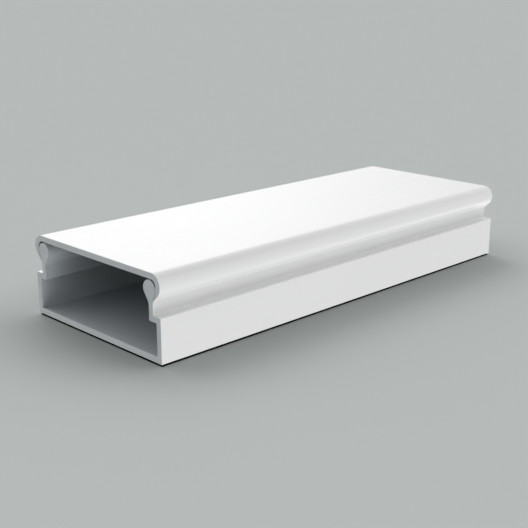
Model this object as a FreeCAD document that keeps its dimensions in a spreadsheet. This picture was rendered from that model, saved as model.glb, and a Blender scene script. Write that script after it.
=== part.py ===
import FreeCAD, Part
import Sketcher
import math
import os

# A short cut length of white PVC cable raceway, lying on its back.
# It is two extruded pieces: an open channel, stepped in at half height so that a slim
# neck carries a round bead along each side, and a flat cover whose curled edges hook
# round those beads. The cover clips on from above or runs along the beads.
# Frame: X along the raceway, Y across it, Z up from the wall side of the floor.
# The origin is the middle of that wall side.

# Driving sizes in millimetres, and one in degrees: name, value, what it measures.
SIZES = [
    ("raceway_length", 130.0, "cut length of channel and cover"),
    ("width", 50.0, "overall width, the same for channel and cover"),
    ("height", 20.9, "wall face to the top of the cover"),
    ("floor_thickness", 1.5, "channel floor"),
    ("side_wall", 1.5, "channel wall below the step"),
    ("step_thickness", 1.5, "shelf between side wall and neck"),
    ("step_depth", 2.6, "how far the neck stands in from the side wall's face"),
    ("neck_wall", 1.5, "neck that carries the bead"),
    ("neck_height", 3.2, "step top to the end of the hook, the open groove"),
    ("bead_radius", 2.1, "round bead on top of the neck"),
    ("bead_taper", 3.3, "bead centre down to where its inner flank leaves the neck"),
    ("cover_thickness", 1.5, "flat of the cover and its rounded edge"),
    ("corner_relief", 0.6, "how much tighter the cover's inner bend is than the bead"),
    ("bead_side_gap", 0.2, "bead to the cover's inner side face"),
    ("bead_top_gap", 0.3, "bead to the underside of the cover"),
    ("hook_slope", 45.0, "degrees from upright of the hook's straight outer slope"),
    ("running_gap", 0.08, "bead to the gripping nose of the hook"),
    ("nose_tip", 0.25, "blunt end of the nose"),
    ("nose_neck_gap", 0.15, "end of the nose to the neck"),
    ("edge_radius", 0.3, "corners left by the extrusion die"),
]

# Sizes that follow from the driving ones, as expressions on the sheet.
HALF = "sizes.width / 2"
NECK_OUTER = f"({HALF} - sizes.step_depth)"
NECK_INNER = f"({NECK_OUTER} - sizes.neck_wall)"
WALL_INNER = f"({HALF} - sizes.side_wall)"
BEAD_ACROSS = f"({HALF} - sizes.cover_thickness - sizes.bead_side_gap - sizes.bead_radius)"
BEAD_UP = "(sizes.height - sizes.cover_thickness - sizes.bead_top_gap - sizes.bead_radius)"
BEND_INNER = "(sizes.bead_radius - sizes.corner_relief)"
BEND_OUTER = f"({BEND_INNER} + sizes.cover_thickness)"
BEND_ACROSS = f"({HALF} - {BEND_OUTER})"
BEND_UP = f"(sizes.height - {BEND_OUTER})"
NOSE_RADIUS = "(sizes.bead_radius + sizes.running_gap)"
NOSE_END = f"({NECK_OUTER} + sizes.nose_neck_gap)"
# The hook's slope leaves its bend as a tangent and runs down to the nose's end.
SLOPE_DROP = f"({NOSE_END} - {BEND_ACROSS}) / tan(sizes.hook_slope)"
NOSE_FOOT = f"({BEND_UP} + {SLOPE_DROP} - {BEND_OUTER} / sin(sizes.hook_slope))"
OUTER_ROOT = f"({NOSE_FOOT} + sizes.nose_tip / 2)"
INNER_ROOT = f"({BEAD_UP} - sizes.bead_taper)"
STEP_TOP = f"({NOSE_FOOT} - sizes.neck_height)"
STEP_UNDER = f"({STEP_TOP} - sizes.step_thickness)"

START = 1
END = 2
CENTRE = 3
VOLUME_TOLERANCE = 1e-6
PLACE_TOLERANCE = 1e-4


def make_sheet(doc):
    """The sheet of driving sizes, one row each, with its name as the cell's alias."""
    sheet = doc.addObject("Spreadsheet::Sheet", "sizes")
    for row, (name, value, meaning) in enumerate(SIZES, start=1):
        sheet.set(f"A{row}", name)
        sheet.set(f"B{row}", str(value))
        sheet.set(f"C{row}", meaning)
        sheet.setAlias(f"B{row}", name)
    doc.recompute()


def number(owner, expression):
    """The present value of an expression on the sheet."""
    value = owner.evalExpression(expression)
    return float(getattr(value, "Value", value))


def point(owner, across, up):
    return FreeCAD.Vector(number(owner, across), number(owner, up), 0)


def tangent_point(outside, centre, radius, side):
    """Where the line from a point outside a circle touches it, to the left of the way there
    (side 1) or to the right (side -1)."""
    way = centre - outside
    reach = math.sqrt(way.Length**2 - radius**2)
    turn = side * math.asin(radius / way.Length)
    heading = math.atan2(way.y, way.x) + turn
    return outside + FreeCAD.Vector(math.cos(heading), math.sin(heading), 0) * reach


def angle_about(centre, place):
    return math.atan2(place.y - centre.y, place.x - centre.x)


def add_arc(sketch, centre, radius, first, last):
    """An arc running anticlockwise from one angle to the other."""
    circle = Part.Circle(centre, FreeCAD.Vector(0, 0, 1), radius)
    return sketch.addGeometry(Part.ArcOfCircle(circle, first, last), False)


def add_line(sketch, first, last):
    return sketch.addGeometry(Part.LineSegment(first, last), False)


def join(sketch, first, first_end, second, second_end, smooth=False):
    kind = "Tangent" if smooth else "Coincident"
    sketch.addConstraint(Sketcher.Constraint(kind, first, first_end, second, second_end))


def bind(sketch, name, expression, kind, *places):
    """A dimension of the sketch that takes its value from the sheet."""
    value = number(sketch, expression)
    index = sketch.addConstraint(Sketcher.Constraint(kind, *places, value))
    sketch.renameConstraint(index, name)
    sketch.setExpression(f"Constraints.{name}", expression)


def place_point(sketch, name, geometry, end, across=None, up=None):
    """Holds a point at its distance from the origin, across and up."""
    origin = (-1, START)
    if across:
        bind(sketch, f"{name}_across", across, "DistanceX", *origin, geometry, end)
    if up:
        bind(sketch, f"{name}_up", up, "DistanceY", *origin, geometry, end)


def origin_plane(body, role):
    return next(f for f in body.Origin.OriginFeatures if f.Role == role)


def start_body(doc, label):
    """A body with an empty sketch across the raceway, on its mid-length plane."""
    body = doc.addObject("PartDesign::Body", label)
    body.Label = label
    sketch = body.newObject("Sketcher::SketchObject", f"{label}_half_section")
    sketch.AttachmentSupport = [(origin_plane(body, "YZ_Plane"), "")]
    sketch.MapMode = "FlatFace"
    doc.recompute()
    return body, sketch


def draw_channel(sketch):
    """Half of the channel's section: floor, side wall, step, neck and bead."""
    centre = point(sketch, BEAD_ACROSS, BEAD_UP)
    radius = number(sketch, "sizes.bead_radius")
    outer_root = point(sketch, NECK_OUTER, OUTER_ROOT)
    inner_root = point(sketch, NECK_INNER, INNER_ROOT)
    outer_touch = tangent_point(outer_root, centre, radius, -1)
    inner_touch = tangent_point(inner_root, centre, radius, 1)
    below = [
        point(sketch, "0", "0"),
        point(sketch, HALF, "0"),
        point(sketch, HALF, STEP_TOP),
        point(sketch, NECK_OUTER, STEP_TOP),
        outer_root,
        outer_touch,
    ]
    inside = [
        inner_touch,
        inner_root,
        point(sketch, NECK_INNER, STEP_UNDER),
        point(sketch, WALL_INNER, STEP_UNDER),
        point(sketch, WALL_INNER, "sizes.floor_thickness"),
        point(sketch, "0", "sizes.floor_thickness"),
        point(sketch, "0", "0"),
    ]
    back, side, step, neck_outer, flank_outer = [
        add_line(sketch, *ends) for ends in zip(below, below[1:])
    ]
    bead = add_arc(
        sketch,
        centre,
        radius,
        angle_about(centre, outer_touch),
        angle_about(centre, inner_touch) + 2 * math.pi,
    )
    flank_inner, neck_inner, shelf, wall_inner, floor, middle = [
        add_line(sketch, *ends) for ends in zip(inside, inside[1:])
    ]

    square = [back, side, step, neck_outer, flank_outer]
    for first, second in zip(square, square[1:]):
        join(sketch, first, END, second, START)
    join(sketch, flank_outer, END, bead, START, smooth=True)
    join(sketch, bead, END, flank_inner, START, smooth=True)
    square = [flank_inner, neck_inner, shelf, wall_inner, floor, middle, back]
    for first, second in zip(square, square[1:]):
        join(sketch, first, END, second, START)
    for level in (back, step, shelf, floor):
        sketch.addConstraint(Sketcher.Constraint("Horizontal", level))
    for upright in (side, neck_outer, neck_inner, wall_inner, middle):
        sketch.addConstraint(Sketcher.Constraint("Vertical", upright))

    sketch.addConstraint(Sketcher.Constraint("Coincident", back, START, -1, START))
    place_point(sketch, "side", side, END, HALF, STEP_TOP)
    place_point(sketch, "outer_root", neck_outer, END, NECK_OUTER, OUTER_ROOT)
    place_point(sketch, "bead", bead, CENTRE, BEAD_ACROSS, BEAD_UP)
    bind(sketch, "bead_size", "sizes.bead_radius", "Radius", bead)
    place_point(sketch, "inner_root", neck_inner, START, NECK_INNER, INNER_ROOT)
    place_point(sketch, "shelf", shelf, END, WALL_INNER, STEP_UNDER)
    place_point(sketch, "floor", floor, START, up="sizes.floor_thickness")


def draw_cover(sketch):
    """Half of the cover's section: flat top, rounded edge and the hook round the bead."""
    bend = point(sketch, BEND_ACROSS, BEND_UP)
    bend_outer = number(sketch, BEND_OUTER)
    bend_inner = number(sketch, BEND_INNER)
    bead = point(sketch, BEAD_ACROSS, BEAD_UP)
    nose_radius = number(sketch, NOSE_RADIUS)
    top = FreeCAD.Vector(0, bend.y + bend_outer, 0)
    top_edge = FreeCAD.Vector(bend.x, top.y, 0)
    leaving = -math.radians(number(sketch, "sizes.hook_slope"))
    slope_top = bend + FreeCAD.Vector(math.cos(leaving), math.sin(leaving), 0) * bend_outer
    foot = point(sketch, NOSE_END, NOSE_FOOT)
    tip = point(sketch, NOSE_END, f"{NOSE_FOOT} + sizes.nose_tip")
    nose_touch = tangent_point(tip, bead, nose_radius, -1)
    nose_top = bead + FreeCAD.Vector(nose_radius, 0, 0)
    lip_top = bend + FreeCAD.Vector(bend_inner, 0, 0)
    under_edge = bend + FreeCAD.Vector(0, bend_inner, 0)
    under = FreeCAD.Vector(0, under_edge.y, 0)

    roof = add_line(sketch, top, top_edge)
    corner = add_arc(sketch, bend, bend_outer, leaving, math.pi / 2)
    slope = add_line(sketch, slope_top, foot)
    end = add_line(sketch, foot, tip)
    flank = add_line(sketch, tip, nose_touch)
    nose = add_arc(sketch, bead, nose_radius, angle_about(bead, nose_touch), 0)
    lip = add_line(sketch, nose_top, lip_top)
    inner_corner = add_arc(sketch, bend, bend_inner, 0, math.pi / 2)
    ceiling = add_line(sketch, under_edge, under)
    middle = add_line(sketch, under, top)

    join(sketch, roof, END, corner, END, smooth=True)
    join(sketch, corner, START, slope, START, smooth=True)
    join(sketch, slope, END, end, START)
    join(sketch, end, END, flank, START)
    join(sketch, flank, END, nose, START, smooth=True)
    join(sketch, nose, END, lip, START)
    join(sketch, lip, END, inner_corner, START)
    join(sketch, inner_corner, END, ceiling, START, smooth=True)
    join(sketch, ceiling, END, middle, START)
    join(sketch, middle, END, roof, START)
    join(sketch, inner_corner, CENTRE, corner, CENTRE)
    sketch.addConstraint(Sketcher.Constraint("Horizontal", roof))
    sketch.addConstraint(Sketcher.Constraint("Horizontal", ceiling))
    sketch.addConstraint(Sketcher.Constraint("Vertical", end))
    sketch.addConstraint(Sketcher.Constraint("Vertical", middle))
    # A point on the sketch's upright axis, and two points level with their arcs' centres.
    sketch.addConstraint(Sketcher.Constraint("PointOnObject", roof, START, -2))
    sketch.addConstraint(Sketcher.Constraint("Horizontal", nose, END, nose, CENTRE))
    sketch.addConstraint(
        Sketcher.Constraint("Horizontal", inner_corner, START, inner_corner, CENTRE)
    )

    place_point(sketch, "bend", corner, CENTRE, BEND_ACROSS, BEND_UP)
    bind(sketch, "bend_outer", BEND_OUTER, "Radius", corner)
    bind(sketch, "bend_inner", BEND_INNER, "Radius", inner_corner)
    place_point(sketch, "foot", slope, END, NOSE_END, NOSE_FOOT)
    bind(sketch, "tip", "sizes.nose_tip", "DistanceY", end, START, end, END)
    place_point(sketch, "nose", nose, CENTRE, BEAD_ACROSS, BEAD_UP)
    bind(sketch, "nose_size", NOSE_RADIUS, "Radius", nose)


def extrude(body, sketch):
    """Pads the half section both ways along the raceway and mirrors it across the middle."""
    doc = body.Document
    doc.recompute()
    if sketch.solve() or not sketch.FullyConstrained:
        raise RuntimeError(f"{sketch.Name} isn't held by its dimensions")
    pad = body.newObject("PartDesign::Pad", f"{body.Label}_half")
    pad.Profile = sketch
    pad.SideType = "Symmetric"
    pad.setExpression("Length", "sizes.raceway_length")
    doc.recompute()
    section = Part.Face(sketch.Shape).Area
    expected = section * number(pad, "sizes.raceway_length")
    if abs(pad.Shape.Volume - expected) > VOLUME_TOLERANCE * expected:
        raise RuntimeError(f"{pad.Name} isn't its section times its length")
    whole = body.newObject("PartDesign::Mirrored", f"{body.Label}_whole")
    whole.Originals = [pad]
    whole.MirrorPlane = (origin_plane(body, "XZ_Plane"), [""])
    body.Tip = whole
    doc.recompute()
    if abs(whole.Shape.Volume - 2 * expected) > VOLUME_TOLERANCE * expected:
        raise RuntimeError(f"{whole.Name} isn't twice its half")
    return whole


def long_edges(feature, corners):
    """The names of the edges that run the length of the raceway at the given corners, on
    both sides of the middle."""
    found = []
    for index, edge in enumerate(feature.Shape.Edges, start=1):
        first, last = edge.firstVertex().Point, edge.lastVertex().Point
        if abs(first.x - last.x) < PLACE_TOLERANCE:
            continue
        for across, up in corners:
            gap = math.hypot(abs(first.y) - across, first.z - up)
            if gap < PLACE_TOLERANCE:
                found.append(f"Edge{index}")
    if len(found) != 2 * len(corners):
        raise RuntimeError(f"{feature.Name} has {len(found)} edges at its corners")
    return found


def round_channel(body, whole):
    """The small radii that the extrusion die leaves along the channel's square corners."""
    corners = [
        (HALF, "0"),
        (HALF, STEP_TOP),
        (NECK_OUTER, STEP_TOP),
        (NECK_INNER, STEP_UNDER),
        (WALL_INNER, STEP_UNDER),
        (WALL_INNER, "sizes.floor_thickness"),
    ]
    places = [(number(body, across), number(body, up)) for across, up in corners]
    fillet = body.newObject("PartDesign::Fillet", f"{body.Label}_corners")
    fillet.Base = (whole, long_edges(whole, places))
    fillet.setExpression("Radius", "sizes.edge_radius")
    body.Tip = fillet
    body.Document.recompute()


def make_channel(doc):
    body, sketch = start_body(doc, "base_channel")
    draw_channel(sketch)
    round_channel(body, extrude(body, sketch))
    return body


def make_cover(doc):
    body, sketch = start_body(doc, "clip_on_cover")
    draw_cover(sketch)
    extrude(body, sketch)
    return body


def check(doc, bodies):
    """Stops on any object that failed to build and on any shape that isn't one good solid."""
    for item in doc.Objects:
        if "Invalid" in item.State or "Error" in item.State:
            raise RuntimeError(f"{item.Name} failed: {item.State}")
    for body in bodies:
        shape = body.Shape
        if shape.isNull() or not shape.isValid() or len(shape.Solids) != 1:
            raise RuntimeError(f"{body.Label} isn't one valid solid")


def main():
    doc = FreeCAD.newDocument("cable_raceway")
    make_sheet(doc)
    bodies = [make_channel(doc), make_cover(doc)]
    doc.recompute()
    check(doc, bodies)
    os.makedirs("parts", exist_ok=True)
    for body in bodies:
        body.Shape.exportStep(f"parts/{body.Label}.step")
        box = body.Shape.BoundBox
        print(
            f"{body.Label}: {box.XLength:.2f} x {box.YLength:.2f} x {box.ZLength:.2f} mm, "
            f"{body.Shape.Volume:.1f} mm3"
        )
    shared = bodies[0].Shape.common(bodies[1].Shape).Volume
    gap = bodies[0].Shape.distToShape(bodies[1].Shape)[0]
    print(f"shared by both: {shared:.6f} mm3, gap {gap:.4f} mm")


main()
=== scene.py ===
import math

import bpy
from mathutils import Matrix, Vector


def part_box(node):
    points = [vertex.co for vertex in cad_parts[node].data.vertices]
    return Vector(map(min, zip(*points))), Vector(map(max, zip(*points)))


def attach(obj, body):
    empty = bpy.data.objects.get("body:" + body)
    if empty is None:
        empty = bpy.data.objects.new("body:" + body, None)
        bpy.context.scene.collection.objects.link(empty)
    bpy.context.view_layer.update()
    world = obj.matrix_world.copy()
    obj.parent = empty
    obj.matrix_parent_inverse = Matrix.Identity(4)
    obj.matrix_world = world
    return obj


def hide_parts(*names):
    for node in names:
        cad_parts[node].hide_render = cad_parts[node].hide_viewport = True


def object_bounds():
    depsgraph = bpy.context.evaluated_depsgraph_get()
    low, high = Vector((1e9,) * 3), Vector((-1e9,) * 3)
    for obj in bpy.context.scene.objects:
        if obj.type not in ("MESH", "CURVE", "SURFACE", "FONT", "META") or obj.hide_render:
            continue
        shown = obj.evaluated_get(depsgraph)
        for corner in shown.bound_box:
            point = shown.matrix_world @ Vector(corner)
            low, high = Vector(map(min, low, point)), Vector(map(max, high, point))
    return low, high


bl_info = {
    "name": "Cable raceway",
    "version": (1, 0, 0),
    "blender": (4, 5, 0),
    "location": "3D View > Sidebar > Raceway",
    "description": "A short cut length of white PVC cable raceway with its clip-on cover",
    "category": "Object",
}

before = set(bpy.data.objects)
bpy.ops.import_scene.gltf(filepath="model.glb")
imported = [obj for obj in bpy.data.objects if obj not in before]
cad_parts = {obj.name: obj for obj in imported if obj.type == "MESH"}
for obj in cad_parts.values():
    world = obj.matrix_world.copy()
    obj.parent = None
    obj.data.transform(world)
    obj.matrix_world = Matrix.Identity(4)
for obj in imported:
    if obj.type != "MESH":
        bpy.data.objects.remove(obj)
CAD_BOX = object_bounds()
LOW, HIGH = (Vector(corner) for corner in CAD_BOX)
BEAD_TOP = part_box("base_channel")[1].z
HOOK_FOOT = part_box("clip_on_cover")[0].z

MM = 0.001
ALONG = Vector((1, 0, 0))

# Points of an outline that are merged, and places that count as the same.
MERGE_DISTANCE = 1e-7
PLACE_TOLERANCE = 2e-6

# A face looks along an axis when its normal has this share there.
FACING = 0.99

# Sharper turns than this stay sharp in the shading.
SMOOTH_ANGLE = math.radians(50)

# Nearest distance that the camera shows, and how far the near-black sheet of painted contact shadow lies
# above the floor.
NEAREST_SEEN = 10 * MM
PAINTED_SHADOW_LIFT = 0.05 * MM

# The finishes of a piece, in the order of its material slots. The second is the white PVC greyed as
# painted shade on the faces inside.
SKIN, INNER_PAINTED_SHADE, SAW_CUT = range(3)

# Fineness of the patterns in the plastic, in noise cells to the metre.
DIE_LINES = 2600
BROAD_LINES = 420
WAVES = 45
GRAIN = 9000
PATCHES = 60
SAW_MARKS = 2600
SAW_SMEARS = 420
SAW_GRAIN = 7000

# Slant of the saw's marks and smears on the cut.
SAW_SLANT = math.radians(28)
SMEAR_SLANT = math.radians(-12)

# How far the patterns stand up from the surface.
WAVE_HEIGHT = 0.06 * MM
DIE_LINE_HEIGHT = 0.04 * MM
GRAIN_HEIGHT = 0.002 * MM
SAW_MARK_HEIGHT = 0.02 * MM
SAW_GRAIN_HEIGHT = 0.006 * MM


def size(name, description, value_mm):
    """A length that a user can change, given in millimetres and kept in metres."""
    return bpy.props.FloatProperty(
        name=name, description=description, default=value_mm * MM, unit="LENGTH", precision=5, min=0
    )


def colour(name, description, value):
    return bpy.props.FloatVectorProperty(
        name=name, description=description, default=value, subtype="COLOR", size=3, min=0, max=1
    )


def share(name, description, value):
    return bpy.props.FloatProperty(
        name=name, description=description, default=value, subtype="FACTOR", min=0, max=1
    )


def angle(name, description, degrees):
    return bpy.props.FloatProperty(
        name=name, description=description, default=math.radians(degrees), subtype="ANGLE"
    )


def strength(name, description, value):
    return bpy.props.FloatProperty(name=name, description=description, default=value, min=0)


class RacewaySection(bpy.types.PropertyGroup):
    """Sizes of the extruded section that the frame's boxes don't give."""

    floor: size("Floor", "Thickness of the channel's floor", 1.5)
    side_wall: size("Side wall", "Thickness of the wall below the step", 1.5)
    step: size("Step", "Thickness of the shelf between side wall and neck", 1.5)
    step_depth: size("Step depth", "How far the neck stands in from the side wall's face", 2.6)
    neck_wall: size("Neck wall", "Thickness of the neck that carries the bead", 1.5)
    neck_height: size("Neck height", "Step top to the end of the hook", 3.2)
    bead_radius: size("Bead radius", "Round bead on top of the neck", 2.1)
    bead_taper: size("Bead taper", "Bead centre down to where its inner flank leaves the neck", 3.3)
    cover: size("Cover", "Thickness of the cover", 1.5)
    corner_relief: size("Corner relief", "How much tighter the cover's inner bend is than the bead", 0.6)
    bead_side_gap: size("Side gap", "Bead to the cover's inner side face", 0.2)
    running_gap: size("Running gap", "Bead to the gripping nose of the hook", 0.08)
    nose_tip: size("Nose tip", "Blunt end of the nose", 0.25)
    nose_neck_gap: size("Nose gap", "End of the nose to the neck", 0.15)
    hook_slope: angle("Hook slope", "Angle from upright of the hook's outer slope", 45)
    die_radius: size("Die radius", "Corners left by the extrusion die", 0.3)
    foot_radius: size("Foot radius", "Crisper corners along the underside", 0.1)
    crease_radius: size("Crease radius", "Soft creases where the bead's flanks leave the neck", 0.4)
    cut_bevel: size("Cut edge", "Broken edge along the saw cut", 0.05)
    nose_radius: size("Nose corners", "Corners of the hook's blunt nose", 0.08)
    arc_step: angle("Arc step", "Turn of each short face round a bend", 6)


class RacewayFinish(bpy.types.PropertyGroup):
    """Colours and surface of the plastic. The inner faces' greys are painted shade, and the saw cut's
    grey is partly painted shade.
    """

    skin: colour("Skin", "White PVC as it leaves the die", (0.83, 0.832, 0.835))
    skin_shade: colour("Skin shade", "The slightly greyer patches of the skin", (0.80, 0.803, 0.808))
    skin_roughness: share("Skin roughness", "Satin gloss of the skin", 0.22)
    # Painted shade: the inner faces are the skin's white PVC, greyed here to paint in the shade inside
    # the raceway and in the slit between hook and bead.
    inner: colour("Inner faces", "Duller grey of the faces inside the raceway", (0.53, 0.565, 0.58))
    inner_shade: colour("Inner shade", "Darker streaks of the inner faces", (0.48, 0.515, 0.53))
    inner_roughness: share("Inner roughness", "Dull finish of the inner faces", 0.5)
    # The saw cut's grey is partly the matte cut's own tone and partly painted shade on the end, which
    # faces away from most of the light.
    cut: colour("Saw cut", "Matte face left by the saw", (0.645, 0.685, 0.70))
    cut_shade: colour("Saw cut shade", "Darker smears across the cut", (0.585, 0.62, 0.64))
    cut_roughness: share("Saw cut roughness", "Roughness of the cut face", 0.62)


class RacewayStudio(bpy.types.PropertyGroup):
    """Camera, floor and light, with painted shade and a painted contact shadow on the floor round the
    raceway.
    """

    lens: bpy.props.FloatProperty(
        name="Lens", description="Focal length on a 36 mm sensor, in millimetres", default=66.61, min=1
    )
    camera_place: bpy.props.FloatVectorProperty(
        name="Camera place",
        description="Where the camera stands",
        default=(-0.19029, -0.18506, 0.08385),
        subtype="TRANSLATION",
        unit="LENGTH",
        precision=5,
    )
    camera_down: angle("Camera down", "How far the camera looks down", 16.626)
    camera_heading: angle("Camera heading", "Direction of view, from the raceway's length", 45.532)
    floor_colour: colour("Floor", "Pale grey floor", (0.49, 0.52, 0.508))
    # Painted shade: near the raceway the floor's colour darkens towards this grey and fades out over the
    # reach below, standing in for the shadow there.
    floor_painted_shade: colour("Floor shade", "Deepest shade of the floor at the raceway", (0.216, 0.229, 0.224))
    painted_shade_reach: size("Shade reach", "How far from the raceway the floor's shade fades out", 30)
    backdrop: colour("Backdrop", "What the camera sees past the floor", (0.474, 0.503, 0.491))
    floor_reach: size("Floor reach", "Half the width of the floor", 8000)
    # The floor lies this gap below the underside. The near-black sheet of painted contact shadow lies in
    # that gap, just inside the underside's outline, and gives the gap its darkness.
    contact_gap: size("Contact gap", "Dark joint between the floor and the underside", 0.55)
    painted_shadow_inset: size("Joint inset", "How far the dark joint stays inside the underside", 0.1)
    painted_shadow_colour: colour("Joint", "Shade in the joint under the raceway", (0.012, 0.013, 0.014))
    brightness: strength("Brightness", "Strength of all the lights together", 1)


# Soft round lights in the studio's dome: azimuth from +X towards +Y, elevation and softness in
# degrees, then brightness. Those below the horizon stand for light off the bench.
DOME_LIGHTS = {
    "large light behind": (77.8, 51.6, 21.8, 3.85),
    "wide light on the left": (117.8, 8.0, 41.6, 1.56),
    "wide light on the right": (317.4, 22.4, 30.2, 1.66),
    "light past the far end": (1.8, 34.5, 29.5, 1.31),
    "light over the camera": (250.9, 31.1, 20.0, 1.44),
    "low glow behind": (52.0, 15.2, 20.7, 1.51),
    "bench in front": (261.0, -45.9, 30.4, 3.26),
    "bench past the far end": (358.5, -30.4, 20.0, 1.62),
}


class Wire:
    """A shader socket that takes part in sums and products, each of which adds a Math node."""

    def __init__(self, tree, socket):
        self.tree = tree
        self.socket = socket

    def math(self, operation, first, second=None):
        values = {0: first} if second is None else {0: first, 1: second}
        return self.tree.node("ShaderNodeMath", {"operation": operation}, values)

    def __add__(self, other):
        return self.math("ADD", self, other)

    def __mul__(self, other):
        return self.math("MULTIPLY", self, other)

    def __sub__(self, other):
        return self.math("SUBTRACT", self, other)

    def __rsub__(self, other):
        return self.math("SUBTRACT", other, self)

    def __pow__(self, other):
        return self.math("POWER", self, other)

    def __rpow__(self, other):
        return self.math("POWER", other, self)

    def at_least(self, other):
        return self.math("MAXIMUM", self, other)

    __radd__ = __add__
    __rmul__ = __mul__


class Tree:
    """The nodes of a material or a world."""

    def __init__(self, owner):
        owner.use_nodes = True
        self.nodes = owner.node_tree.nodes
        self.links = owner.node_tree.links
        self.nodes.clear()

    def node(self, kind, settings=None, inputs=None, output=0):
        """Adds a node, sets it up, feeds its sockets and gives one of its outputs."""
        made = self.nodes.new(kind)
        for name, value in (settings or {}).items():
            if name == "stops":
                self.set_stops(made.color_ramp, value)
            else:
                setattr(made, name, value)
        for name, value in (inputs or {}).items():
            if isinstance(value, Wire):
                self.links.new(value.socket, made.inputs[name])
            else:
                made.inputs[name].default_value = value
        return Wire(self, made.outputs[output]) if made.outputs else made

    @staticmethod
    def set_stops(ramp, stops):
        """Gives a ramp its stops, each a place and a grey level."""
        while len(ramp.elements) < len(stops):
            ramp.elements.new(1.0)
        for element, (place, level) in zip(ramp.elements, stops):
            element.position = place
            element.color = (level, level, level, 1)

    def object_place(self, scale=(1, 1, 1), turn=(0, 0, 0)):
        """Places on the piece in its own frame. A scale under 1 draws a pattern out that way."""
        place = self.node("ShaderNodeTexCoord", output="Object")
        inputs = {"Vector": place, "Scale": scale, "Rotation": turn}
        return self.node("ShaderNodeMapping", {}, inputs)

    def noise(self, place, scale, detail=2.0, roughness=0.5):
        inputs = {"Vector": place, "Scale": scale, "Detail": detail, "Roughness": roughness}
        return self.node("ShaderNodeTexNoise", {}, inputs, "Fac")

    def ramp(self, value, *stops):
        return self.node("ShaderNodeValToRGB", {"stops": stops}, {"Fac": value})

    def mix_colour(self, factor, first, second):
        """Blends two colours. The colour mix has its own sockets in the node, 6 and 7, and gives
        its result at the third output."""
        inputs = {0: factor, 6: solid(first), 7: solid(second)}
        return self.node("ShaderNodeMix", {"data_type": "RGBA"}, inputs, 2)

    def fade(self, value, start, end):
        """A smooth fall from 1 at the start to 0 at the end."""
        inputs = {"Value": value, "From Min": start, "From Max": end, "To Min": 1.0, "To Max": 0.0}
        return self.node("ShaderNodeMapRange", {"interpolation_type": "SMOOTHSTEP"}, inputs)

    def bump(self, height, distance, normal=None):
        """Raises a pattern, on top of the one whose normal is given."""
        inputs = {"Height": height, "Distance": distance, "Strength": 1.0}
        if normal is not None:
            inputs["Normal"] = normal
        return self.node("ShaderNodeBump", {}, inputs)


def solid(rgb):
    """A colour with full alpha."""
    return (*rgb, 1)


def plastic(tree, base, roughness, normal):
    """The closing shader of a plastic surface."""
    inputs = {"Base Color": base, "Roughness": roughness, "Normal": normal}
    shader = tree.node("ShaderNodeBsdfPrincipled", {}, inputs)
    tree.node("ShaderNodeOutputMaterial", {}, {"Surface": shader})


def extruded_material(name, main_colour, shade_colour, base_roughness):
    """Extruded PVC, with fine die lines along the raceway and a faint waviness."""
    material = bpy.data.materials.new(name)
    tree = Tree(material)
    die_lines = tree.noise(tree.object_place((0.03, 1, 1)), DIE_LINES, detail=3, roughness=0.6)
    broad_lines = tree.noise(tree.object_place((0.05, 1, 1)), BROAD_LINES)
    waves = tree.noise(tree.object_place(), WAVES, detail=1, roughness=0.4)
    grain = tree.noise(tree.object_place(), GRAIN, roughness=0.6)
    patches = tree.noise(tree.object_place((0.4, 1, 1)), PATCHES, detail=3)

    shade = tree.ramp(patches * 0.7 + broad_lines * 0.3, (0.2, 0.0), (0.8, 1.0))
    base = tree.mix_colour(shade, main_colour, shade_colour)
    roughness = base_roughness + (broad_lines - 0.5) * 0.10 + (grain - 0.5) * 0.06
    normal = tree.bump(waves, WAVE_HEIGHT)
    normal = tree.bump(broad_lines * 0.6 + die_lines * 0.4, DIE_LINE_HEIGHT, normal)
    normal = tree.bump(grain, GRAIN_HEIGHT, normal)
    plastic(tree, base, roughness, normal)
    return material


def cut_material(name, finish):
    """The saw-cut end: matte, with fine slanting saw marks and a mottled grey that is partly painted
    shade.
    """
    material = bpy.data.materials.new(name)
    tree = Tree(material)
    marks_place = tree.object_place((1, 1, 0.06), (SAW_SLANT, 0, 0))
    smears_place = tree.object_place((1, 0.35, 1), (SMEAR_SLANT, 0, 0))
    saw_marks = tree.noise(marks_place, SAW_MARKS, roughness=0.6)
    smears = tree.noise(smears_place, SAW_SMEARS, detail=3, roughness=0.55)
    grain = tree.noise(tree.object_place(), SAW_GRAIN, detail=3, roughness=0.7)

    shade = tree.ramp(smears * 0.75 + saw_marks * 0.25, (0.35, 0.0), (0.68, 1.0))
    base = tree.mix_colour(shade, finish.cut, finish.cut_shade)
    roughness = finish.cut_roughness + (saw_marks - 0.5) * 0.18
    normal = tree.bump(saw_marks, SAW_MARK_HEIGHT)
    normal = tree.bump(grain, SAW_GRAIN_HEIGHT, normal)
    plastic(tree, base, roughness, normal)
    return material


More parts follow.
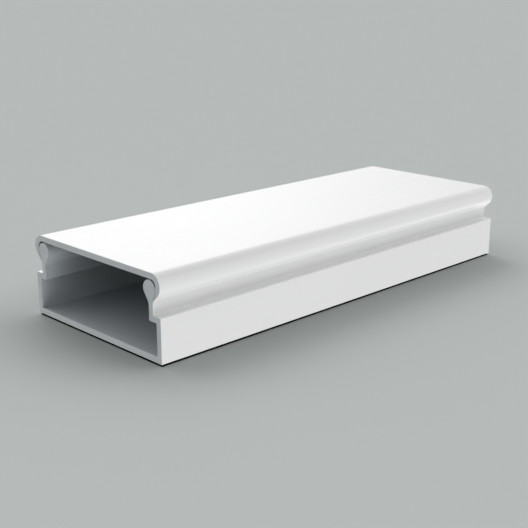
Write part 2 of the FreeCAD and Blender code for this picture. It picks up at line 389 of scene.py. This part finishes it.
class Outline:
    """Draws half a section with edit-mode tools: a vertex that is extruded along straight
    runs and spun round bends. Points are (across, up), in metres."""

    def __init__(self, name, x, start, arc_step):
        self.x = x
        self.here = Vector(start)
        self.arc_step = arc_step
        bpy.ops.object.select_all(action="DESELECT")
        bpy.ops.mesh.primitive_plane_add(size=MM, location=(x, *start))
        self.piece = bpy.context.object
        self.piece.name = name
        self.piece.data.name = name
        bpy.ops.object.mode_set(mode="EDIT")
        bpy.ops.mesh.select_mode(type="VERT")
        bpy.ops.mesh.merge(type="CENTER")

    def line_to(self, *target):
        way = Vector(target) - self.here
        bpy.ops.mesh.extrude_vertices_move(TRANSFORM_OT_translate={"value": (0, *way)})
        self.here = Vector(target)
        return self

    def turn_about(self, centre, turn):
        """Bends round a centre, by a positive angle from across towards up. The spin tool counts
        the other way round its axis."""
        steps = max(2, round(abs(turn) / self.arc_step))
        bpy.ops.mesh.spin(
            steps=steps, angle=-turn, center=(self.x, *centre), axis=ALONG, use_auto_merge=False
        )
        arm = self.here - Vector(centre)
        cosine, sine = math.cos(turn), math.sin(turn)
        swung = Vector((arm.x * cosine - arm.y * sine, arm.x * sine + arm.y * cosine))
        self.here = Vector(centre) + swung
        return self

    def turn_to(self, centre, target, way):
        """Bends round a centre until the target's direction, anticlockwise (1) or back (-1)."""
        arm = self.here - Vector(centre)
        goal = Vector(target) - Vector(centre)
        turn = math.atan2(goal.y, goal.x) - math.atan2(arm.y, arm.x)
        return self.turn_about(centre, way * ((way * turn) % math.tau))

    def extrude(self, length):
        """Closes the outline, fills it and pulls it out along the raceway."""
        bpy.ops.mesh.select_all(action="SELECT")
        bpy.ops.mesh.remove_doubles(threshold=MERGE_DISTANCE)
        bpy.ops.mesh.edge_face_add()
        bpy.ops.mesh.extrude_region_move(TRANSFORM_OT_translate={"value": ALONG * length})
        bpy.ops.object.mode_set(mode="OBJECT")
        bpy.ops.object.transform_apply(location=True, rotation=True, scale=True)
        return self.piece


def tangent_point(outside, centre, radius, side):
    """Where a line from an outside point touches a circle, to the left (1) or right (-1)."""
    way = centre - outside
    reach = math.sqrt(way.length_squared - radius**2)
    heading = math.atan2(way.y, way.x) + side * math.asin(radius / way.length)
    return outside + Vector((math.cos(heading), math.sin(heading))) * reach


def select_none(kind):
    """Clears the active mesh's selection and sets what is selected in it: edges or faces."""
    bpy.ops.object.mode_set(mode="EDIT")
    bpy.ops.mesh.select_mode(type=kind)
    bpy.ops.mesh.select_all(action="DESELECT")
    bpy.ops.object.mode_set(mode="OBJECT")


def bevel_selected(radius, segments):
    """Rounds the selected edges of the active mesh."""
    bpy.ops.object.mode_set(mode="EDIT")
    bpy.ops.mesh.bevel(offset=radius, segments=segments, affect="EDGES", profile=0.5)
    bpy.ops.object.mode_set(mode="OBJECT")


def round_long_edges(piece, corners, radius, segments):
    """Rounds the edges that run along the raceway at the given (across, up) corners."""
    mesh = piece.data
    select_none("EDGE")
    found = 0
    for edge in mesh.edges:
        first, last = (mesh.vertices[index].co for index in edge.vertices)
        if abs(first.x - last.x) < PLACE_TOLERANCE:
            continue
        near = (math.hypot(first.y - across, first.z - up) for across, up in corners)
        edge.select = min(near) < PLACE_TOLERANCE
        found += edge.select
    if found != len(corners):
        raise RuntimeError(f"{piece.name} has {found} edges at {len(corners)} corners")
    bevel_selected(radius, segments)


def mirror_across(piece):
    """Drops the faces on the middle plane and mirrors the half to the other side."""
    select_none("FACE")
    for face in piece.data.polygons:
        on_middle = abs(face.center.y) < PLACE_TOLERANCE
        face.select = on_middle and abs(face.normal.y) > FACING
    bpy.ops.object.mode_set(mode="EDIT")
    bpy.ops.mesh.delete(type="FACE")
    bpy.ops.object.mode_set(mode="OBJECT")
    mirror = piece.modifiers.new("other_side", "MIRROR")
    mirror.use_axis = (False, True, False)
    mirror.merge_threshold = PLACE_TOLERANCE
    bpy.ops.object.modifier_apply(modifier=mirror.name)


def break_cut_edges(piece, bevel):
    """Bevels the rim of both saw cuts by a hair, as a deburred edge. A rim edge belongs to one
    face of the cut, and the seams that the mirror leaves in the cut belong to two."""
    mesh = piece.data
    bpy.ops.object.mode_set(mode="EDIT")
    bpy.ops.mesh.select_all(action="SELECT")
    bpy.ops.mesh.normals_make_consistent(inside=False)
    bpy.ops.object.mode_set(mode="OBJECT")
    select_none("EDGE")
    uses = {}
    for face in mesh.polygons:
        if abs(face.normal.x) > FACING:
            for key in face.edge_keys:
                uses[key] = uses.get(key, 0) + 1
    for edge in mesh.edges:
        edge.select = uses.get(edge.key) == 1
    bevel_selected(bevel, segments=2)


def finish_piece(piece, name, finish, is_inside):
    """Gives the three finishes in the order of SKIN, INNER_PAINTED_SHADE and SAW_CUT, and smooth shading
    that keeps flat faces flat."""
    skin = (finish.skin, finish.skin_shade, finish.skin_roughness)
    inner = (finish.inner, finish.inner_shade, finish.inner_roughness)
    piece.data.materials.append(extruded_material(f"{name}_skin", *skin))
    piece.data.materials.append(extruded_material(f"{name}_painted_inner_shade", *inner))
    piece.data.materials.append(cut_material(f"{name}_saw_cut", finish))
    # Faces inside the raceway and round the slit between hook and bead get the grey of painted shade.
    for face in piece.data.polygons:
        if abs(face.normal.x) > FACING:
            face.material_index = SAW_CUT
        elif is_inside(abs(face.center.y), face.center.z):
            face.material_index = INNER_PAINTED_SHADE
        else:
            face.material_index = SKIN
    bpy.ops.object.shade_smooth_by_angle(angle=SMOOTH_ANGLE)
    weighted = piece.modifiers.new("flat_faces_stay_flat", "WEIGHTED_NORMAL")
    weighted.keep_sharp = True
    bpy.ops.object.modifier_apply(modifier=weighted.name)


class RacewayShape:
    """Places in half the section that follow from the frame and the named sizes."""

    def __init__(self, section):
        s = section
        self.half = HIGH.y
        self.neck_outer = self.half - s.step_depth
        self.neck_inner = self.neck_outer - s.neck_wall
        self.wall_inner = self.half - s.side_wall
        self.step_top = HOOK_FOOT - s.neck_height
        self.step_under = self.step_top - s.step
        self.bead = Vector(
            (self.half - s.cover - s.bead_side_gap - s.bead_radius, BEAD_TOP - s.bead_radius)
        )
        self.outer_root = Vector((self.neck_outer, HOOK_FOOT + s.nose_tip / 2))
        self.inner_root = Vector((self.neck_inner, self.bead.y - s.bead_taper))
        self.bend_inner = s.bead_radius - s.corner_relief
        self.bend_outer = self.bend_inner + s.cover
        self.bend = Vector((self.half - self.bend_outer, HIGH.z - self.bend_outer))
        self.nose_end = self.neck_outer + s.nose_neck_gap
        self.floor_top = LOW.z + s.floor
        self.ceiling = HIGH.z - s.cover
        self.hook_reach = s.bead_radius + s.cover / 2

    def inside_channel(self, across, up):
        """Tells whether a place on the channel faces the cables or the cover's hook; such faces get the
        painted-shade grey.
        """
        if up > self.outer_root.y:
            return True
        reach = self.wall_inner if up < self.step_under + PLACE_TOLERANCE else self.bead.x
        return up > self.floor_top - PLACE_TOLERANCE and across < reach + PLACE_TOLERANCE

    def inside_cover(self, across, up):
        """Tells whether a place on the cover faces the cables or the bead; such faces get the
        painted-shade grey.
        """
        near_bead = math.hypot(across - self.bead.x, up - self.bead.y) < self.hook_reach
        below = up < self.ceiling + PLACE_TOLERANCE
        return below and (near_bead or across < self.bead.x)


class RACEWAY_OT_channel(bpy.types.Operator):
    """Model the open channel with its stepped walls, necks and beads"""

    bl_idname = "raceway.channel"
    bl_label = "Channel"
    bl_options = {"REGISTER", "UNDO"}

    def execute(self, context):
        section = context.scene.raceway_section
        shape = RacewayShape(section)
        outer_touch = tangent_point(shape.outer_root, shape.bead, section.bead_radius, -1)
        inner_touch = tangent_point(shape.inner_root, shape.bead, section.bead_radius, 1)
        outline = Outline("channel_extrusion", LOW.x, (0, LOW.z), section.arc_step)
        outline.line_to(shape.half, LOW.z)
        outline.line_to(shape.half, shape.step_top)
        outline.line_to(shape.neck_outer, shape.step_top)
        outline.line_to(*shape.outer_root)
        outline.line_to(*outer_touch)
        outline.turn_to(shape.bead, inner_touch, 1)
        outline.line_to(*shape.inner_root)
        outline.line_to(shape.neck_inner, shape.step_under)
        outline.line_to(shape.wall_inner, shape.step_under)
        outline.line_to(shape.wall_inner, shape.floor_top)
        outline.line_to(0, shape.floor_top)
        outline.line_to(0, LOW.z)
        piece = outline.extrude(HIGH.x - LOW.x)
        die_corners = [
            (shape.half, shape.step_top),
            (shape.neck_outer, shape.step_top),
            (shape.neck_inner, shape.step_under),
            (shape.wall_inner, shape.step_under),
            (shape.wall_inner, shape.floor_top),
        ]
        round_long_edges(piece, die_corners, section.die_radius, segments=6)
        round_long_edges(piece, [(shape.half, LOW.z)], section.foot_radius, segments=3)
        creases = [tuple(shape.outer_root), tuple(shape.inner_root)]
        round_long_edges(piece, creases, section.crease_radius, segments=4)
        mirror_across(piece)
        break_cut_edges(piece, section.cut_bevel)
        finish_piece(piece, "channel", context.scene.raceway_finish, shape.inside_channel)
        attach(piece, "channel")
        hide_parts("base_channel")
        return {"FINISHED"}


class RACEWAY_OT_cover(bpy.types.Operator):
    """Model the flat cover whose curled edges hook round the beads"""

    bl_idname = "raceway.cover"
    bl_label = "Cover"
    bl_options = {"REGISTER", "UNDO"}

    def execute(self, context):
        section = context.scene.raceway_section
        shape = RacewayShape(section)
        grip_radius = section.bead_radius + section.running_gap
        foot = Vector((shape.nose_end, HOOK_FOOT))
        tip = foot + Vector((0, section.nose_tip))
        slope_top = -section.hook_slope
        nose_touch = tangent_point(tip, shape.bead, grip_radius, -1)
        outline = Outline("cover_extrusion", LOW.x, (0, HIGH.z), section.arc_step)
        outline.line_to(shape.bend.x, HIGH.z)
        outline.turn_about(shape.bend, slope_top - math.pi / 2)
        outline.line_to(*foot)
        outline.line_to(*tip)
        outline.line_to(*nose_touch)
        outline.turn_to(shape.bead, shape.bead + Vector((grip_radius, 0)), 1)
        outline.line_to(shape.bend.x + shape.bend_inner, shape.bend.y)
        outline.turn_about(shape.bend, math.pi / 2)
        outline.line_to(0, shape.ceiling)
        outline.line_to(0, HIGH.z)
        piece = outline.extrude(HIGH.x - LOW.x)
        nose_corners = [tuple(foot), tuple(tip)]
        round_long_edges(piece, nose_corners, section.nose_radius, segments=3)
        mirror_across(piece)
        break_cut_edges(piece, section.cut_bevel)
        finish_piece(piece, "cover", context.scene.raceway_finish, shape.inside_cover)
        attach(piece, "cover")
        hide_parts("clip_on_cover")
        return {"FINISHED"}


def towards(azimuth, elevation):
    """The unit vector towards a light whose angles are given in degrees."""
    heading, rise = math.radians(azimuth), math.radians(elevation)
    level = math.cos(rise)
    return (level * math.cos(heading), level * math.sin(heading), math.sin(rise))


def soft_light(tree, direction, azimuth, elevation, softness, brightness):
    """A round soft light in the studio's dome, brightest at its middle. A cosine's power of
    2 / softness squared, in radians, falls off much as a bell curve of that width."""
    inputs = {0: direction, 1: towards(azimuth, elevation)}
    settings = {"operation": "DOT_PRODUCT"}
    closeness = tree.node("ShaderNodeVectorMath", settings, inputs, "Value")
    return closeness.at_least(0.0) ** (2 / math.radians(softness) ** 2) * brightness


def light_studio(scene, studio):
    """Lights everything from a dome, and shows the camera a plain backdrop."""
    world = bpy.data.worlds.new("studio_dome")
    scene.world = world
    tree = Tree(world)
    direction = tree.node("ShaderNodeTexCoord", output="Generated")
    light = sum(soft_light(tree, direction, *values) for values in DOME_LIGHTS.values())
    white = {"Color": (1, 1, 1, 1), "Strength": light * studio.brightness}
    dome = tree.node("ShaderNodeBackground", {}, white)
    plain = tree.node("ShaderNodeBackground", {}, {"Color": solid(studio.backdrop)})
    seen = tree.node("ShaderNodeLightPath", output="Is Camera Ray")
    shown = tree.node("ShaderNodeMixShader", {}, {0: seen, 1: dome, 2: plain})
    tree.node("ShaderNodeOutputWorld", {}, {"Surface": shown})


def level_sheet(name, half_length, half_width, height):
    """A level rectangle that belongs to the stage."""
    bpy.ops.object.select_all(action="DESELECT")
    bpy.ops.mesh.primitive_plane_add(size=2, location=(0, 0, height))
    sheet = bpy.context.object
    sheet.scale = (half_length, half_width, 1)
    bpy.ops.object.transform_apply(location=True, rotation=True, scale=True)
    sheet.name = name
    sheet.data.materials.append(bpy.data.materials.new(name))
    return Tree(sheet.data.materials[0])


def painted_contact_shade(tree, reach):
    """How much a place on the floor lies in the painted shade round the raceway, which darkens the
    floor's colour in place of the shadow near it.
    """
    place = tree.node("ShaderNodeTexCoord", output="Object")
    outward = tree.node("ShaderNodeVectorMath", {"operation": "ABSOLUTE"}, {0: place})
    along = tree.node("ShaderNodeSeparateXYZ", {}, {0: outward}, "X")
    across = tree.node("ShaderNodeSeparateXYZ", {}, {0: outward}, "Y")
    along_shade = tree.fade(along, HIGH.x - reach, HIGH.x + reach)
    return along_shade * tree.fade(across, HIGH.y - reach, HIGH.y + reach)


def lay_floor(studio):
    """A wide level floor, a hair below the underside, whose colour darkens near the raceway as painted
    shade, and a near-black sheet under the raceway as painted contact shadow. The camera sees the floor;
    the light that comes up off the bench passes it."""
    height = LOW.z - studio.contact_gap
    reach = studio.floor_reach
    tree = level_sheet("studio_floor", reach, reach, height)
    seen = tree.node("ShaderNodeLightPath", output="Is Camera Ray")
    clear = tree.node("ShaderNodeBsdfTransparent")
    # Painted shade: the floor's grey is darkened round the raceway.
    painted_shade_share = painted_contact_shade(tree, studio.painted_shade_reach)
    greys = tree.mix_colour(painted_shade_share, studio.floor_colour, studio.floor_painted_shade)
    floor = tree.node("ShaderNodeBsdfDiffuse", {}, {"Color": greys})
    shown = tree.node("ShaderNodeMixShader", {}, {0: seen, 1: clear, 2: floor})
    tree.node("ShaderNodeOutputMaterial", {}, {"Surface": shown})

    # Painted contact shadow: a near-black sheet just inside the underside's outline, seen through the gap
    # under the raceway.
    inset = studio.painted_shadow_inset
    tree = level_sheet("painted_contact_shadow", HIGH.x - inset, HIGH.y - inset, height + PAINTED_SHADOW_LIFT)
    dark = tree.node("ShaderNodeBsdfDiffuse", {}, {"Color": solid(studio.painted_shadow_colour)})
    tree.node("ShaderNodeOutputMaterial", {}, {"Surface": dark})


def place_camera(scene, studio):
    camera = bpy.data.objects.new("camera", bpy.data.cameras.new("camera"))
    scene.collection.objects.link(camera)
    camera.location = studio.camera_place
    quarter = math.pi / 2
    camera.rotation_euler = (quarter - studio.camera_down, 0, studio.camera_heading - quarter)
    camera.data.lens = studio.lens
    camera.data.clip_start = NEAREST_SEEN
    scene.camera = camera


class RACEWAY_OT_stage(bpy.types.Operator):
    """Lay the floor, light the studio and place the camera"""

    bl_idname = "raceway.stage"
    bl_label = "Stage"
    bl_options = {"REGISTER", "UNDO"}

    def execute(self, context):
        scene = context.scene
        studio = scene.raceway_studio
        place_camera(scene, studio)
        lay_floor(studio)
        light_studio(scene, studio)
        scene.view_settings.view_transform = "Standard"
        return {"FINISHED"}


class RACEWAY_PT_panel(bpy.types.Panel):
    """Lists the pieces and their sizes"""

    bl_idname = "RACEWAY_PT_panel"
    bl_label = "Cable raceway"
    bl_space_type = "VIEW_3D"
    bl_region_type = "UI"
    bl_category = "Raceway"

    def draw(self, context):
        layout = self.layout
        for operator in OPERATORS:
            layout.operator(operator.bl_idname)
        for group in GROUPS:
            box = layout.box()
            box.label(text=group.__doc__)
            settings = getattr(context.scene, GROUPS[group])
            for name in group.__annotations__:
                box.prop(settings, name)


GROUPS = {
    RacewaySection: "raceway_section",
    RacewayFinish: "raceway_finish",
    RacewayStudio: "raceway_studio",
}
OPERATORS = (RACEWAY_OT_stage, RACEWAY_OT_channel, RACEWAY_OT_cover)
CLASSES = (*GROUPS, *OPERATORS, RACEWAY_PT_panel)


def register():
    for item in CLASSES:
        bpy.utils.register_class(item)
    for group, name in GROUPS.items():
        setattr(bpy.types.Scene, name, bpy.props.PointerProperty(type=group))


def unregister():
    for name in GROUPS.values():
        delattr(bpy.types.Scene, name)
    for item in reversed(CLASSES):
        bpy.utils.unregister_class(item)


def main():
    register()
    bpy.ops.raceway.stage()
    bpy.ops.raceway.channel()
    bpy.ops.raceway.cover()


if __name__ == "__main__":
    main()
